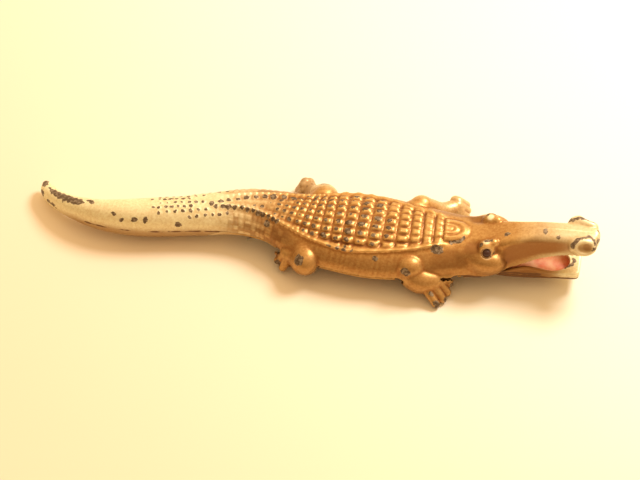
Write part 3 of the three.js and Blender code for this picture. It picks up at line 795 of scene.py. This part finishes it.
# Bare spots on the tail and the near keel: station, angle from the crown, and two radii.
TAIL_CHIPS = (
    (-44.2, -37, 0.45, 0.5), (-42.5, -55, 0.45, 0.5), (-40.1, -52, 0.65, 0.5), (-37.8, -51, 0.5, 0.75),
    (-31.1, -66, 0.65, 0.6), (-10.6, -45, 0.75, 0.8), (-49.6, 3, 0.75, 0.6), (-60.6, -75, 0.5, 0.6),
    (-58.9, -80, 0.45, 0.4), (-57.6, -80, 0.6, 0.4), (-50.4, 10, 0.45, 0.5), (-61.5, -15, 0.5, 0.8),
    (3.0, -45.5, 0.45, 0.35), (4.7, -46, 0.5, 0.4), (6.5, -46.5, 0.55, 0.4), (8.2, -46, 0.4, 0.35),
)


def scratch_depth(points, radius, way):
    """How far inside a scratch each point is."""
    best = np.full(len(points), NOWHERE)
    for a, b in zip(np.array(way), np.array(way)[1:]):
        t = np.clip((points - a) @ (b - a) / ((b - a) @ (b - a)), 0, 1)
        far = np.linalg.norm(points - a - t[:, None] * (b - a), axis=1)
        best = np.maximum(best, radius - far)
    return best


def chips(points):
    """How far inside a bare spot of the head, body or legs each point is, negative outside."""
    x, y, z = points.T
    best = np.full(len(x), NOWHERE)
    for cx, cy, cz, rx, ry, rz in CHIPS:
        far = np.sqrt(((x - cx) / rx) ** 2 + ((y - cy) / ry) ** 2 + ((z - cz) / rz) ** 2)
        best = np.maximum(best, (1 - far) * min(rx, ry))
    for radius, way in SCRATCHES:
        best = np.maximum(best, scratch_depth(points, radius, way))
    return best


def tail_chips(plan, z):
    """The same for the tail and keel, with the long bare patch along the tail's end."""
    s, across = plan["station"], plan["across"]
    angle, around = polar(plan, z), np.hypot(across, z - plan["mid"])
    best = np.full(len(z), NOWHERE)
    for cs, ca, rs, ra in TAIL_CHIPS:
        far = np.hypot((s - cs) / rs, np.radians(angle - ca) * around / ra)
        best = np.maximum(best, (1 - far) * min(rs, ra))
    line = np.interp(s, (-60, -56, -51, -50), (-0.1, -0.2, -0.3, -0.2))
    width = np.interp(s, (-60.5, -59.3, -55.5, -52.2, -50.9), (0, 0.6, 0.95, 0.8, 0))
    long_patch = width + 0.12 * np.sin(s * 5.5) - np.abs(across - line)
    best = np.where(s < -50.4, np.maximum(best, long_patch), best)
    return np.where(z > plan["mid"] - 0.3, best, NOWHERE)


def scute_chips(plan, z):
    """Worn spots on the scutes' rear far corners, at mid-back, and on the tail's dots."""
    s, across = plan["station"], plan["across"]
    angle = polar(plan, z)
    cell, row = bands(s), angle / ROW_PITCH + 0.5
    i, j = np.floor(cell), np.floor(row)
    pick = hashed(i, j, 1)
    often = ramp(s, -19, -10) * (1 - ramp(s, 12, 19))
    often = often * (1 - 0.5 * ramp(np.abs(angle) / keel_angle(s), 0.8, 1.0))
    size = (0.20 + 0.12 * hashed(i, j, 4)) * ramp(often - pick, -0.05, 0.25)
    u = cell - i - 0.40 - 0.12 * (hashed(i, j, 2) - 0.5)
    v = row - j - 0.56 - 0.12 * (hashed(i, j, 3) - 0.5)
    worn = (size - np.hypot(u, v * 0.85)) * 2.3 - 0.02
    inside = (np.abs(angle) < keel_angle(s) - 3) & (z > plan["mid"])
    worn = np.where(inside & (size > 0.05), worn, NOWHERE)
    dots = dot_field(s, across) - 0.05
    return np.maximum(worn, np.where(z > plan["mid"], dots, NOWHERE))


def snout_flank(x, y, z):
    """1 in the hollow along each side of the snout."""
    top = np.interp(x, (38, 46, 60), (12.5, 14.6, 15.7))
    lip = np.interp(x, LIP[:, 0], LIP[:, 1])
    rise = (z - lip) / (top - lip)
    hollow = ramp(rise, 0.10, 0.40) * (1 - ramp(rise, 0.62, 0.95)) * ramp(np.abs(y), 1.8, 3.0)
    return hollow * ramp(x, 39, 41) * (1 - ramp(x, 50, 54.5))


def head_shade(x, y, z):
    """Where the head is painted a deeper copper as painted shade: the snout's flanks, behind the eyes and in
    the nostrils.
    """
    behind = 1 - ramp(np.sqrt(((x - 33.2) / 2.2) ** 2 + ((np.abs(y) - 3.9) / 1.7) ** 2), 0.4, 1.2)
    nostril = 1 - ramp(np.sqrt((x - 57.3) ** 2 + ((np.abs(y) - 2.9) / 0.9) ** 2 + (z - 14.4) ** 2), 0.8, 1.4)
    return 1.1 * snout_flank(x, y, z) + 0.9 * behind * (z > 9) + 0.5 * nostril


def body_shade_and_wash(x, y, z, here):
    """The same on the body: painted shade on the near side, the neck and the tail's underside, and a copper
    wash in squares at the tail's root.
    """
    station = here["station"]
    off = np.abs(polar(here, z)) - keel_angle(station)
    # painted shade on the near flank
    side = 0.45 * ramp(off, 4, 14) * ramp(station, -14, 2) * (1 - ramp(y, 5, 9))
    # painted shade on the neck, below the shield
    neck = 0.7 * ramp(off, 4, 14) * ramp(x, 22, 26) * (1 - ramp(x, 31, 34)) * (1 - ramp(off, 40, 55))
    square = hashed(np.floor(station / 1.5 + 0.25 * np.sin(station)), np.floor(off / 12), 5)
    root = ramp(off, 3, 12) * ramp(station, -24, -18) * (1 - ramp(station, -7, -3))
    root = root * (0.35 + 0.4 * (square > 0.45))
    # painted shade on the tail's underside
    tail = 0.85 * ramp(station, -61, -50) * (1 - ramp(station, -24, -18))
    tail = tail * (1 - ramp(z - here["mid"], -0.8, 2.2))
    return np.maximum(side, neck) + root + tail


def upper_cream_and_highlight(x, y, z, here):
    """How far the gold has turned to cream: towards the tail and the snout, and as a painted highlight on the
    far legs and the brows; less on the snout's flanks as painted shade.
    """
    trunk = ramp(-section(here, z), -1.2, -0.4)
    cream_and_highlight = (1 - ramp(here["station"], -36, 3)) * trunk + 0.7 * ramp(x, 37, 54)
    # painted highlight: the far legs are painted paler
    cream_and_highlight = cream_and_highlight + ramp(y, 7, 11) * (0.55 - 0.2 * ramp(x, 0, 12))
    # painted shade: less cream on the snout's flanks
    cream_and_highlight = cream_and_highlight * (1 - 0.8 * snout_flank(x, y, z))
    brow = np.hypot(np.hypot(x - 36.0, np.abs(y) - 3.5), z - 12.3)
    # painted highlight on the brows
    return cream_and_highlight + 0.9 * (1 - ramp(brow, 0.4, 1.1))


def upper_seam(x, z, here):
    """How far inside the dark of the mould seam, the throat or the corner of the mouth each point is."""
    gap = np.abs(z - np.minimum(here["mid"], SEAM_Z))
    open_seam = 0.04 + 0.20 * ramp(here["station"], -53, -48) * (1 - ramp(here["station"], -24, -21))
    lip = np.interp(x, (27.0, *LIP[:, 0]), (SEAM_Z, *LIP[:, 1]))
    mouth = 0.34 - np.abs(z - lip) - 2.0 * ramp(x, 40, 44) - 2.0 * (1 - ramp(x, 27, 30))
    return np.maximum(open_seam - gap, mouth)


def marks(block, points, cream_and_highlight, shade_and_wash, **depths):
    """What the paint reads: two shares, how the skin curves near and wide, and the depth inside each mark."""
    bends = {"curve": roundness(block, points, 2), "broad": roundness(block, points, 6)}
    none = dict.fromkeys(("bare", "seam", "eye", "red"), np.full(len(points), NOWHERE))
    return {"cream_and_highlight": cream_and_highlight, "shade_and_wash": shade_and_wash, **bends, **none, **depths}


def upper_paint(block, plan):
    def paint(points):
        x, y, z = points.T
        here = plan.at(x, y)
        bare = np.maximum(chips(points), tail_chips(here, z))
        bare = np.maximum(bare, np.where(x < 30, scute_chips(here, z), NOWHERE))
        pupil = np.array(PUPIL) + PUPIL_WAY * 0.6
        eye = 1.06 - np.sqrt((x - pupil[0]) ** 2 + (np.abs(y) - pupil[1]) ** 2 + (z - pupil[2]) ** 2)
        cream_and_highlight = np.clip(upper_cream_and_highlight(x, y, z, here), 0, 1)
        shade_and_wash = np.clip(head_shade(x, y, z) + body_shade_and_wash(x, y, z, here), 0, 1)
        return marks(block, points, cream_and_highlight, shade_and_wash, bare=bare, seam=upper_seam(x, z, here), eye=eye)

    return paint


def belly_paint(block):
    def paint(points):
        cream_and_highlight = 0.8 * (1 - ramp(points[:, 0], -30, -9))
        return marks(block, points, cream_and_highlight, np.full(len(points), 0.4))

    return paint


# A scratch on the lower jaw's front rim.
JAW_SCRATCH = ((52.9, -1.8, 5.4), (54.0, -1.0, 5.5), (54.7, 0.1, 5.4), (54.3, 0.7, 5.4))


def jaw_paint(block):
    def paint(points):
        x, y, z = points.T
        half, _, rim, scoop = jaw_profiles(x)
        red = np.minimum(scoop - 0.05 - np.abs(y), rim - 0.1 - z)
        red = np.minimum(red, np.minimum(x - 39.0, z - 2.7))
        edge = 0.50 - np.abs(z - JAW_SEAM_Z)
        dark = edge
        # painted shade in the two grooves above the seam line
        for height in JAW_STRIPES:
            dark = np.maximum(dark, 0.42 - np.abs(z - height) - 1.4 * ramp(x, 47, 51))
        front = edge + np.minimum(x - 55.0, 0)
        seam = np.maximum(np.where(np.abs(y) > half - 1.6, dark, NOWHERE), front)
        # painted shade on the jaw's rear, under the head; its front turns to cream
        cream_and_highlight, shade_and_wash = 0.15 + 0.75 * ramp(x, 47, 53), 0.25 + 0.75 * (1 - ramp(x, 49, 54))
        bare = scratch_depth(points, 0.36, JAW_SCRATCH)
        return marks(block, points, cream_and_highlight, shade_and_wash, bare=bare, seam=seam, red=red)

    return paint


# ---- materials ----
class Nodes:
    """A short way to write shader nodes."""

    def __init__(self, name):
        self.material = bpy.data.materials.new(name)
        self.material.use_nodes = True
        self.tree = self.material.node_tree
        self.shader = self.tree.nodes["Principled BSDF"]

    def node(self, kind, inputs=(), **settings):
        made = self.tree.nodes.new("ShaderNode" + kind)
        for key, value in settings.items():
            setattr(made, key, value)
        for key, value in dict(inputs).items():
            self.put(made.inputs[key], value)
        return made

    def put(self, socket, value):
        if isinstance(value, bpy.types.NodeSocket):
            self.tree.links.new(value, socket)
        elif isinstance(value, tuple) and socket.type == "RGBA":
            socket.default_value = (*value, 1)
        else:
            socket.default_value = value

    def attribute(self, name):
        return self.node("Attribute", attribute_name=name).outputs["Fac"]

    def place(self):
        return self.node("TexCoord").outputs["Object"]

    def noise(self, scale, detail=3.0, rough=0.55, seed=0.0):
        shifted = self.node("VectorMath", {0: self.place(), 1: (seed, seed * 1.7, seed * 0.6)}).outputs[0]
        inputs = {"Vector": shifted, "Scale": scale, "Detail": detail, "Roughness": rough}
        return self.node("TexNoise", inputs).outputs["Fac"]

    def math(self, operation, a, b):
        return self.node("Math", {0: a, 1: b}, operation=operation).outputs[0]

    def add(self, a, b, share=1.0):
        """a and a share of b."""
        return self.math("ADD", a, b if share == 1.0 else self.math("MULTIPLY", b, share))

    def span(self, value, lo, hi, to_lo=0.0, to_hi=1.0):
        """Turns lo to hi into to_lo to to_hi, smoothly."""
        inputs = {"Value": value, "From Min": lo, "From Max": hi, "To Min": to_lo, "To Max": to_hi}
        return self.node("MapRange", inputs, interpolation_type="SMOOTHSTEP").outputs["Result"]

    def mix(self, amount, a, b):
        made = self.node("Mix", data_type="RGBA")
        for socket, value in zip((made.inputs["Factor"], made.inputs[6], made.inputs[7]), (amount, a, b)):
            self.put(socket, value)
        return made.outputs[2]

    def blend(self, amount, a, b):
        """A number between a and b."""
        return self.math("ADD", self.math("MULTIPLY", amount, self.math("SUBTRACT", b, a)), a)

    def finish(self, **inputs):
        for key, value in inputs.items():
            self.put(self.shader.inputs[key.replace("_", " ")], value)
        return self.material


# Colours of the paint, as (dark, bright) where there are two. GOLD and CREAM turn to their bright end on
# ridges as a painted highlight, and also with random mottle.
GOLD = ((0.36, 0.152, 0.033), (0.60, 0.345, 0.110))
# gold under painted shade and copper wash, then gold of painted shade in creases
GOLD_SHADE_AND_WASH, GOLD_CREASE_SHADE = (0.24, 0.096, 0.020), (0.17, 0.055, 0.012)
CREAM = ((0.68, 0.52, 0.26), (0.88, 0.80, 0.51))
# the same two for the cream
CREAM_SHADE_AND_WASH, CREAM_CREASE_SHADE = (0.36, 0.18, 0.05), (0.30, 0.15, 0.05)
BARE_METAL = ((0.115, 0.070, 0.036), (0.30, 0.22, 0.14))
MOUTH_RED = ((0.62, 0.13, 0.05), (0.72, 0.39, 0.20))
# dark of the seams, also used as painted shade in the jaw's grooves
SEAM_DIRT_AND_GROOVE_SHADE, EYE_RING, EYE_DARK = (0.15, 0.065, 0.02), (0.70, 0.50, 0.28), (0.05, 0.012, 0.006)


def gold_and_cream(n, patches, cream_and_highlight):
    """The two paints, brighter on ridges as a painted highlight, darker in creases as painted shade, and
    darker under the painted shade and copper wash.
    """
    curve, broad = n.attribute("curve"), n.attribute("broad")
    mottle = n.math("SUBTRACT", n.noise(1900, 3, 0.7, 0.9), 0.5)
    # painted highlight on ridges, mixed with random mottle and patches
    light = n.span(n.add(n.add(curve, mottle, 2.2), patches, 0.9), -0.7, 0.9)
    # painted shade on flanks, hollows and undersides, with a copper wash at the tail's root
    shade_and_wash_share = n.span(n.add(n.attribute("shade_and_wash"), patches, 0.6), 0.1, 1.0, 0.0, 0.85)
    gold = n.mix(shade_and_wash_share, n.mix(light, *GOLD), GOLD_SHADE_AND_WASH)
    # painted shade in creases
    gold = n.mix(n.span(n.add(curve, broad, 0.5), -0.35, -1.4, 0.0, 0.8), gold, GOLD_CREASE_SHADE)
    cream = n.mix(shade_and_wash_share, n.mix(light, *CREAM), CREAM_SHADE_AND_WASH)
    cream = n.mix(n.span(curve, -0.25, -0.9), cream, CREAM_CREASE_SHADE)
    return n.mix(cream_and_highlight, gold, cream)


def cast_paint():
    """Copper-gold metallic paint that turns to cream, chipped to grey metal, red inside the mouth."""
    n = Nodes("cast_paint")
    patches = n.math("SUBTRACT", n.noise(260, 4, 0.6), 0.5)
    grain = n.noise(3200, 2, 0.6, 0.3)
    cream_and_highlight = n.span(n.add(n.attribute("cream_and_highlight"), patches, 0.35), 0.05, 0.95)
    colour = gold_and_cream(n, patches, cream_and_highlight)
    ragged = n.math("SUBTRACT", n.noise(1300, 3, 0.65, 0.7), 0.5)
    bare = n.span(n.add(n.attribute("bare"), ragged, 1.1), -0.04, 0.05)
    metal = n.mix(n.span(n.noise(1500, 2, 0.5, 0.5), 0.42, 0.66), *BARE_METAL)
    broken = n.math("SUBTRACT", n.noise(500, 2), 0.55)
    # dark of the seams, and painted shade in the jaw's grooves
    colour = n.mix(n.span(n.add(n.attribute("seam"), broken, 0.9), 0.0, 0.1), colour, SEAM_DIRT_AND_GROOVE_SHADE)
    red = n.span(n.add(n.attribute("red"), ragged, 0.6), 0.0, 0.12)
    colour = n.mix(red, colour, n.mix(n.span(patches, -0.15, 0.15), *MOUTH_RED))
    eye = n.span(n.attribute("eye"), 0.0, 0.08)
    ring = n.math("MULTIPLY", n.span(n.attribute("eye"), -0.42, -0.3), n.math("SUBTRACT", 1.0, eye))
    colour = n.mix(n.math("MULTIPLY", ring, 0.5), colour, EYE_RING)
    colour = n.mix(eye, n.mix(bare, colour, metal), EYE_DARK)
    rough = n.blend(bare, n.blend(cream_and_highlight, 0.38, 0.46), 0.50)
    rough = n.add(rough, n.math("SUBTRACT", grain, 0.5), 0.14)
    metallic = n.blend(n.math("MAXIMUM", red, eye), n.blend(cream_and_highlight, 0.60, 0.22), 0.0)
    height = n.add(n.math("MULTIPLY", grain, 0.3), bare, -1.0)
    bump = n.node("Bump", {"Height": height, "Strength": 0.35, "Distance": 0.00006}).outputs["Normal"]
    return n.finish(Base_Color=colour, Roughness=rough, Metallic=metallic, Normal=bump)


def steel(name, tint, roughness):
    """Plated sheet steel with fine scratches."""
    n = Nodes(name)
    stretched = n.node("Mapping", {"Vector": n.place(), "Scale": (0.12, 1.0, 1.0)}).outputs["Vector"]
    scratch = n.node("TexNoise", {"Vector": stretched, "Scale": 5200.0, "Detail": 3.0}).outputs["Fac"]
    dull = n.noise(300, 4, 0.6)
    colour = n.mix(n.span(dull, 0.4, 0.75), tint, tuple(0.72 * c for c in tint))
    rough = n.add(n.span(scratch, 0.3, 0.7, roughness - 0.06, roughness + 0.08), dull, 0.08)
    bump = n.node("Bump", {"Height": scratch, "Strength": 0.2, "Distance": 0.00002}).outputs["Normal"]
    return n.finish(Base_Color=colour, Roughness=rough, Metallic=1.0, Normal=bump)


def floor_material():
    """A plain pale table, painted paler and cooler to the right and back as painted light from the lamp's
    side.
    """
    n = Nodes("floor")
    split = n.node("SeparateXYZ", {0: n.place()})
    right_back = n.add(split.outputs["Y"], split.outputs["X"], 0.75)
    # painted light: paler towards the lamp, to the right and back
    colour = n.mix(n.span(right_back, -0.10, 0.11), (0.83, 0.68, 0.50), (0.84, 0.80, 0.67))
    return n.finish(Base_Color=colour, Roughness=0.9)


# ---- assembly ----
def build_castings():
    plan = Plan(Block().axes)
    paint = cast_paint()
    upper, belly, jaw = sculpt_upper(plan), sculpt_belly(), sculpt_jaw()
    mesh_piece("sculpt_upper", upper, "body", "upper_casting", paint, upper_paint(upper, plan))
    mesh_piece("sculpt_belly", belly, "body", "belly_casting", paint, belly_paint(belly))
    mesh_piece("sculpt_jaw", jaw, "jaw", "lower_jaw", paint, jaw_paint(jaw))


def dress_clip():
    """Plated steel on the CAD nodes that show: the clip, its pin, the jaw's pin and the rivets."""
    plated = steel("plated_steel", (0.66, 0.63, 0.58), 0.3)
    for name, node in frame["nodes"].items():
        if name in ("upper_casting", "belly_casting", "lower_jaw", "torsion_spring"):
            continue
        node.data.materials.clear()
        node.data.materials.append(plated)


def spring_path():
    """The wire's middle: a leg in the casting, turns round the clip's pin, and a leg on the finger tab."""
    x, z = CLIP_PIVOT
    share = np.linspace(0, 1, COIL_TURNS * 24 + 1)
    angle = np.pi * (0.32 - (2 * COIL_TURNS + 0.82) * share)
    along = COIL_HALF * (2 * share - 1)
    turns = np.stack([x + COIL_R * np.cos(angle), along, z + COIL_R * np.sin(angle)], axis=1)
    return np.vstack([(x - 6.0, -COIL_HALF, z + 4.4), turns, (x - 8.0, COIL_HALF, 2.5)]) + SHIFT


def wind_spring():
    """The torsion spring. Its coil twists as the tab is pressed, with one leg still and one on the tab."""
    curve = bpy.data.curves.new("spring", "CURVE")
    curve.dimensions, curve.bevel_depth, curve.bevel_resolution = "3D", WIRE_R * MM, 3
    curve.use_fill_caps = True
    path = spring_path() * MM
    wire = curve.splines.new("POLY")
    wire.points.add(len(path) - 1)
    wire.points.foreach_set("co", np.column_stack([path, np.ones(len(path))]).ravel())
    mesh = bpy.data.meshes.new_from_object(bpy.data.objects.new("spring", curve))
    mesh.shade_smooth()
    mesh.materials.append(steel("spring_wire", (0.46, 0.45, 0.42), 0.32))
    spring = linked("spring_wire", mesh)
    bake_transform(spring)
    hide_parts("torsion_spring")


def add_floor():
    reach = 3.0
    mesh = bpy.data.meshes.new("floor")
    corners = [(-reach, -reach, 0), (reach, -reach, 0), (reach, reach, 0), (-reach, reach, 0)]
    mesh.from_pydata(corners, [], [(0, 1, 2, 3)])
    mesh.materials.append(floor_material())
    linked("floor", mesh)


AIM = Vector((1.658, -3.978, 4.7)) * MM  # what the camera looks at
LOOK = Vector((0.1044, -0.6343, 0.7660)).normalized()  # from there towards the camera
RIGHT, BACK = Vector((0.9867, 0.1625, 0.0)), Vector((-0.1625, 0.9867, 0.0))  # as the camera sees them
CAMERA_DISTANCE, LENS = 0.7, 183.8
LAMP_DISTANCE, LAMP_SIZE, LAMP_WATTS, LAMP_COLOUR = 0.34, 0.13, 1.2, (1.0, 0.97, 0.93)


def add_camera():
    data = bpy.data.cameras.new("camera")
    data.lens, data.sensor_width, data.clip_start = LENS, 36.0, 0.01
    camera = linked("camera", data)
    camera.location = AIM + LOOK * CAMERA_DISTANCE
    camera.rotation_euler = LOOK.to_track_quat("Z", "Y").to_euler()
    bpy.context.scene.camera = camera
    bpy.context.scene.view_settings.view_transform = "Standard"


def add_lamp():
    """A round soft lamp above the figure, to its right and behind it."""
    light = bpy.data.lights.new("key", "AREA")
    light.shape, light.size, light.energy, light.color = "DISK", LAMP_SIZE, LAMP_WATTS, LAMP_COLOUR
    way = (RIGHT * 9.3 + BACK * 6.0 + Vector((0, 0, 13.0))).normalized()
    lamp = linked("key", light)
    lamp.location = AIM + way * LAMP_DISTANCE
    lamp.rotation_euler = way.to_track_quat("Z", "Y").to_euler()


def add_world():
    """A warm room, brighter above and behind the figure than on the camera's side."""
    world = bpy.data.worlds.new("room")
    bpy.context.scene.world = world
    world.use_nodes = True
    tree = world.node_tree
    way = tree.nodes.new("ShaderNodeTexCoord").outputs["Generated"]
    facing = tree.nodes.new("ShaderNodeVectorMath")
    facing.operation = "DOT_PRODUCT"
    facing.inputs[1].default_value = (0.15, 0.45, 0.88)
    tree.links.new(way, facing.inputs[0])
    level = tree.nodes.new("ShaderNodeMapRange")
    for key, value in {"From Min": -0.3, "From Max": 0.95, "To Min": 0.34, "To Max": 1.45}.items():
        level.inputs[key].default_value = value
    tree.links.new(facing.outputs["Value"], level.inputs["Value"])
    background = tree.nodes["Background"]
    background.inputs["Color"].default_value = (1.0, 0.70, 0.38, 1)
    tree.links.new(level.outputs["Result"], background.inputs["Strength"])


build_castings()
dress_clip()
wind_spring()
add_floor()
add_camera()
add_world()
add_lamp()
